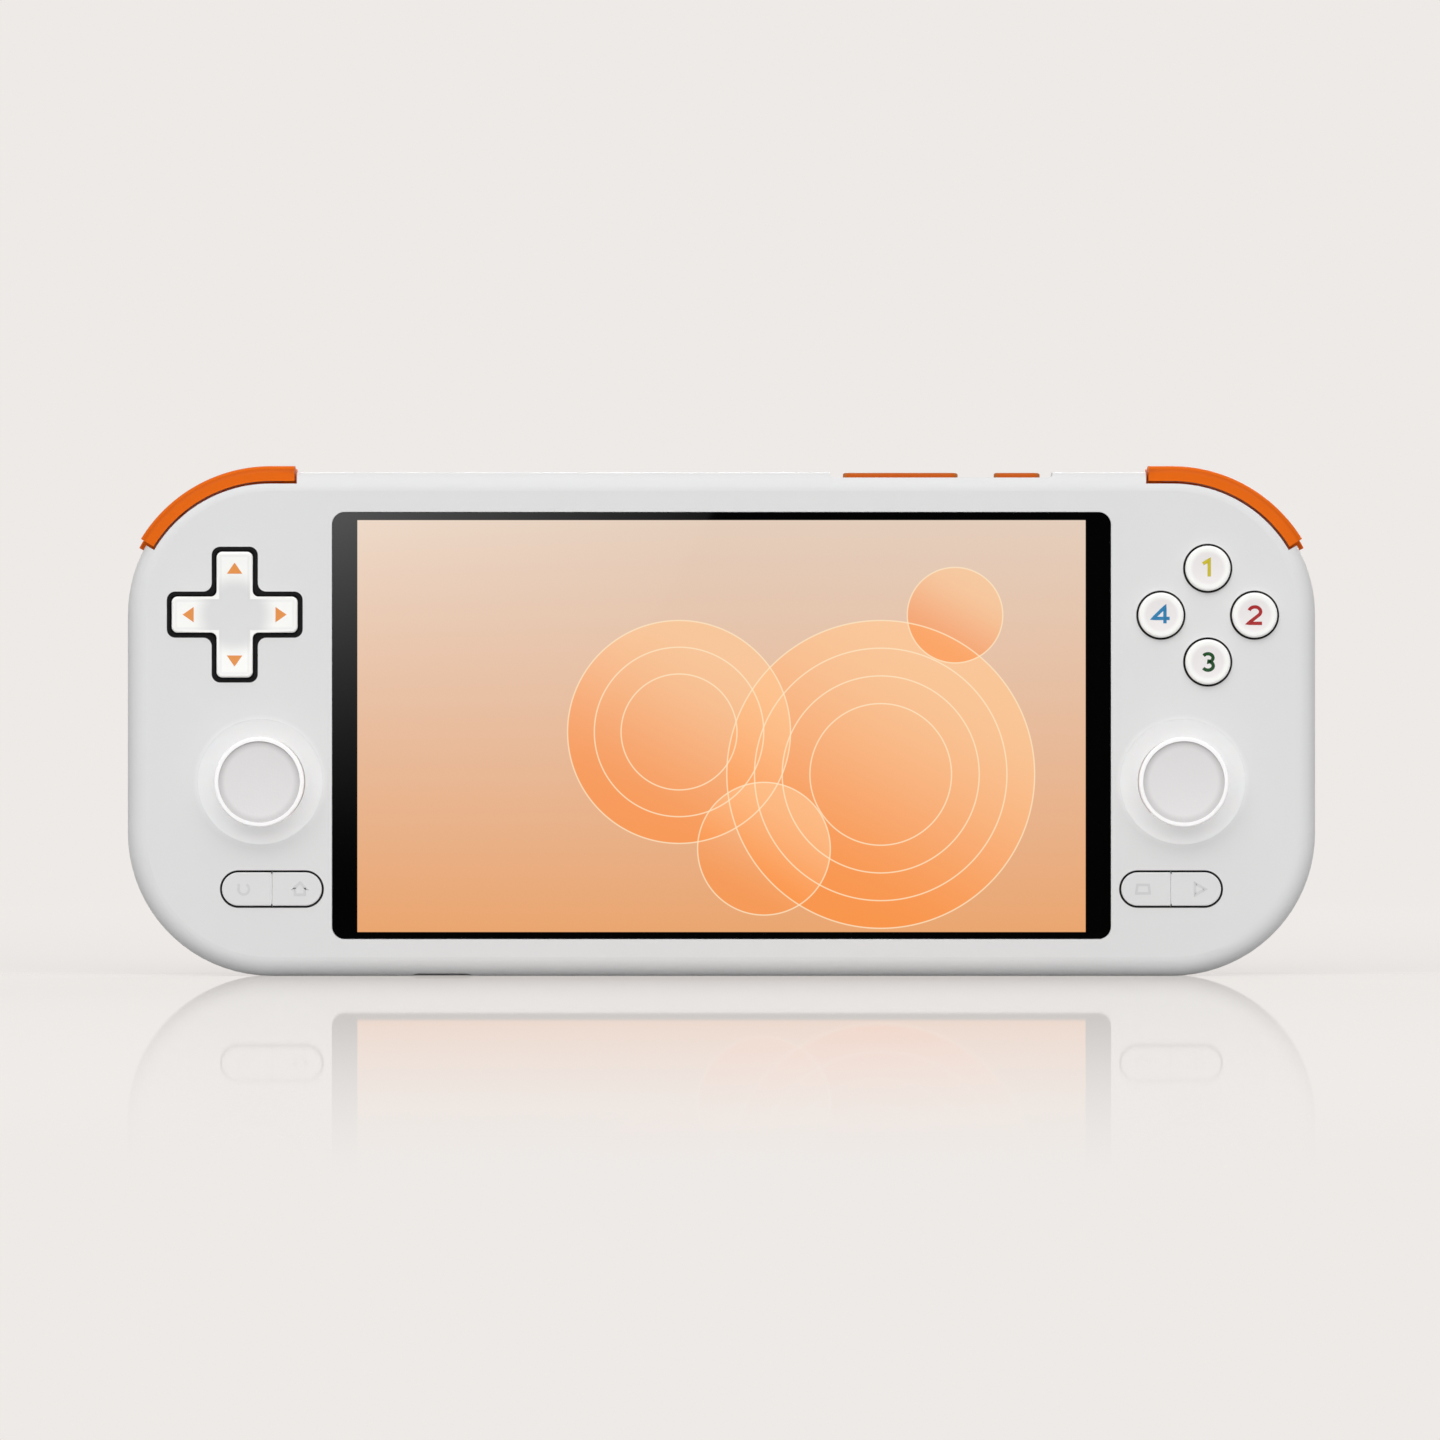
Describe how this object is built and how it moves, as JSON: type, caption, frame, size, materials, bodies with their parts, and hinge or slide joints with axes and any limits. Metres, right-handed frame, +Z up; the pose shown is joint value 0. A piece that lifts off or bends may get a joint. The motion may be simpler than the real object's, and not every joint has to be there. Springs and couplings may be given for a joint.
{
  "type": "handheld game console",
  "caption": "Handheld game console with a wide screen, thumb sticks, direction pad, face buttons, shoulder keys, triggers, fan and ports.",
  "frame": {"origin": "middle of the overall box at the bottom edge that the console stands on", "axes": "+X to the player's right along the console's width, +Y from the player through the console to its back, +Z up towards the shoulder keys"},
  "size_m": [0.224, 0.0286, 0.0962],
  "materials": {
    "shell_white": "fine matte texture",
    "key_orange": "satin moulded",
    "screen_black": "polished cover glass over a lit panel",
    "key_grey": "satin moulded",
    "bezel_black": "satin",
    "button_white": "satin cap with a coloured mark",
    "ring_white": "translucent light ring",
    "grip_rubber": "soft touch",
    "membrane_rubber": "silicone",
    "gasket_black": "foam tape",
    "panel_dark": "display panel",
    "frame_magnesium": "cast",
    "board_green": "solder mask",
    "steel": "plated",
    "screw_dark": "blackened",
    "black_plastic": "moulded",
    "battery_wrap": "film wrapped",
    "copper": "polished copper",
    "fin_aluminium": "anodised"
  },
  "bodies": {
    "root": {"front_shell": "shell_white", "rear_shell": "shell_white", "screen_glass": "screen_black", "glass_gasket": "gasket_black", "display_panel": "panel_dark", "mid_frame": "frame_magnesium", "dpad_bezel": "bezel_black", "dpad_membrane": "membrane_rubber", "face_button_membrane": "membrane_rubber", "menu_membranes": "membrane_rubber", "left_control_board": "board_green", "left_light_ring": "ring_white", "left_stick_base": "black_plastic", "left_trigger_bracket": "black_plastic", "left_trigger_spring": "steel", "right_control_board": "board_green", "right_light_ring": "ring_white", "right_stick_base": "black_plastic", "right_trigger_bracket": "black_plastic", "right_trigger_spring": "steel", "trigger_pins": "steel", "side_key_board": "board_green", "tact_switches": "steel", "main_board": "board_green", "processor_shield": "steel", "battery": "battery_wrap", "fan_housing": "black_plastic", "heat_pipe": "copper", "heat_sink": "fin_aluminium", "usb_c_port": "steel", "headphone_jack": "black_plastic", "card_reader": "steel", "speakers": "black_plastic", "shell_screws": "screw_dark", "board_screws": "steel"},
    "dpad_pivot": {"dpad_pivot": "black_plastic"},
    "dpad": {"dpad": "key_grey"},
    "face_button_1": {"face_button_1": "button_white"},
    "face_button_2": {"face_button_2": "button_white"},
    "face_button_3": {"face_button_3": "button_white"},
    "face_button_4": {"face_button_4": "button_white"},
    "menu_button_back": {"menu_button_back": "key_grey"},
    "menu_button_home": {"menu_button_home": "key_grey"},
    "menu_button_tasks": {"menu_button_tasks": "key_grey"},
    "menu_button_play": {"menu_button_play": "key_grey"},
    "left_stick_gimbal": {"left_stick_gimbal": "black_plastic"},
    "left_stick_shaft": {"left_stick_shaft": "steel"},
    "left_stick_cap": {"left_stick_cap": "key_grey", "left_stick_grip": "grip_rubber"},
    "left_bumper": {"left_bumper": "key_orange"},
    "left_trigger": {"left_trigger": "key_orange"},
    "right_stick_gimbal": {"right_stick_gimbal": "black_plastic"},
    "right_stick_shaft": {"right_stick_shaft": "steel"},
    "right_stick_cap": {"right_stick_cap": "key_grey", "right_stick_grip": "grip_rubber"},
    "right_bumper": {"right_bumper": "key_orange"},
    "right_trigger": {"right_trigger": "key_orange"},
    "volume_rocker": {"volume_rocker": "key_orange"},
    "power_button": {"power_button": "key_orange"},
    "fan_rotor": {"fan_rotor": "black_plastic"}
  },
  "joints": [
    {"name": "dpad_up_down", "type": "hinge", "parent": "root", "child": "dpad_pivot", "pos_m": [-0.0917, -0.0047, 0.0681], "axis": [1, 0, 0], "range_deg": [-3.5, 3.5], "stiffness_Nm_per_rad": 0.05, "deforming": ["dpad_membrane"]},
    {"name": "dpad_left_right", "type": "hinge", "parent": "dpad_pivot", "child": "dpad", "pos_m": [-0.0917, -0.0047, 0.0681], "axis": [0, 0, 1], "range_deg": [-3.5, 3.5], "stiffness_Nm_per_rad": 0.05},
    {"name": "face_button_1_press", "type": "slide", "parent": "root", "child": "face_button_1", "axis": [0, 1, 0], "range_m": [0, 0.0012], "stiffness_N_per_m": 300, "deforming": ["face_button_membrane"]},
    {"name": "face_button_2_press", "type": "slide", "parent": "root", "child": "face_button_2", "axis": [0, 1, 0], "range_m": [0, 0.0012], "stiffness_N_per_m": 300},
    {"name": "face_button_3_press", "type": "slide", "parent": "root", "child": "face_button_3", "axis": [0, 1, 0], "range_m": [0, 0.0012], "stiffness_N_per_m": 300},
    {"name": "face_button_4_press", "type": "slide", "parent": "root", "child": "face_button_4", "axis": [0, 1, 0], "range_m": [0, 0.0012], "stiffness_N_per_m": 300},
    {"name": "menu_button_back_press", "type": "slide", "parent": "root", "child": "menu_button_back", "axis": [0, 1, 0], "range_m": [0, 0.0004], "stiffness_N_per_m": 1000, "deforming": ["menu_membranes"]},
    {"name": "menu_button_home_press", "type": "slide", "parent": "root", "child": "menu_button_home", "axis": [0, 1, 0], "range_m": [0, 0.0004], "stiffness_N_per_m": 1000},
    {"name": "menu_button_tasks_press", "type": "slide", "parent": "root", "child": "menu_button_tasks", "axis": [0, 1, 0], "range_m": [0, 0.0004], "stiffness_N_per_m": 1000},
    {"name": "menu_button_play_press", "type": "slide", "parent": "root", "child": "menu_button_play", "axis": [0, 1, 0], "range_m": [0, 0.0004], "stiffness_N_per_m": 1000},
    {"name": "left_stick_up_down", "type": "hinge", "parent": "root", "child": "left_stick_gimbal", "pos_m": [-0.0869, -0.0017, 0.0366], "axis": [1, 0, 0], "range_deg": [-15, 15], "stiffness_Nm_per_rad": 0.03},
    {"name": "left_stick_left_right", "type": "hinge", "parent": "left_stick_gimbal", "child": "left_stick_shaft", "pos_m": [-0.0869, -0.0017, 0.0366], "axis": [0, 0, 1], "range_deg": [-15, 15], "stiffness_Nm_per_rad": 0.03},
    {"name": "left_stick_click", "type": "slide", "parent": "left_stick_shaft", "child": "left_stick_cap", "axis": [0, 1, 0], "range_m": [0, 0.0004], "stiffness_N_per_m": 2000},
    {"name": "left_bumper_press", "type": "hinge", "parent": "root", "child": "left_bumper", "pos_m": [-0.0774, -0.0027, 0.091], "axis": [0, -1, 0], "range_deg": [0, 0.9], "stiffness_Nm_per_rad": 1},
    {"name": "left_trigger_pull", "type": "hinge", "parent": "root", "child": "left_trigger", "pos_m": [-0.0818, 0.0018, 0.0858], "axis": [-1, 0, 0], "range_deg": [0, 11], "stiffness_Nm_per_rad": 0.05, "springref_deg": -5.73},
    {"name": "right_stick_up_down", "type": "hinge", "parent": "root", "child": "right_stick_gimbal", "pos_m": [0.0869, -0.0017, 0.0366], "axis": [1, 0, 0], "range_deg": [-15, 15], "stiffness_Nm_per_rad": 0.03},
    {"name": "right_stick_left_right", "type": "hinge", "parent": "right_stick_gimbal", "child": "right_stick_shaft", "pos_m": [0.0869, -0.0017, 0.0366], "axis": [0, 0, 1], "range_deg": [-15, 15], "stiffness_Nm_per_rad": 0.03},
    {"name": "right_stick_click", "type": "slide", "parent": "right_stick_shaft", "child": "right_stick_cap", "axis": [0, 1, 0], "range_m": [0, 0.0004], "stiffness_N_per_m": 2000},
    {"name": "right_bumper_press", "type": "hinge", "parent": "root", "child": "right_bumper", "pos_m": [0.0774, -0.0027, 0.091], "axis": [0, 1, 0], "range_deg": [0, 0.9], "stiffness_Nm_per_rad": 1},
    {"name": "right_trigger_pull", "type": "hinge", "parent": "root", "child": "right_trigger", "pos_m": [0.0818, 0.0018, 0.0858], "axis": [-1, 0, 0], "range_deg": [0, 11], "stiffness_Nm_per_rad": 0.05, "springref_deg": -5.73},
    {"name": "volume_rock", "type": "hinge", "parent": "root", "child": "volume_rocker", "pos_m": [0.0338, 0.0009, 0.09135], "axis": [0, 1, 0], "range_deg": [-1.2, 1.2], "stiffness_Nm_per_rad": 0.4},
    {"name": "power_press", "type": "slide", "parent": "root", "child": "power_button", "axis": [0, 0, -1], "range_m": [0, 0.0004], "stiffness_N_per_m": 1500},
    {"name": "fan_spin", "type": "hinge", "parent": "root", "child": "fan_rotor", "pos_m": [0.045, 0.0019, 0.06], "axis": [0, 1, 0], "continuous": true}
  ]
}
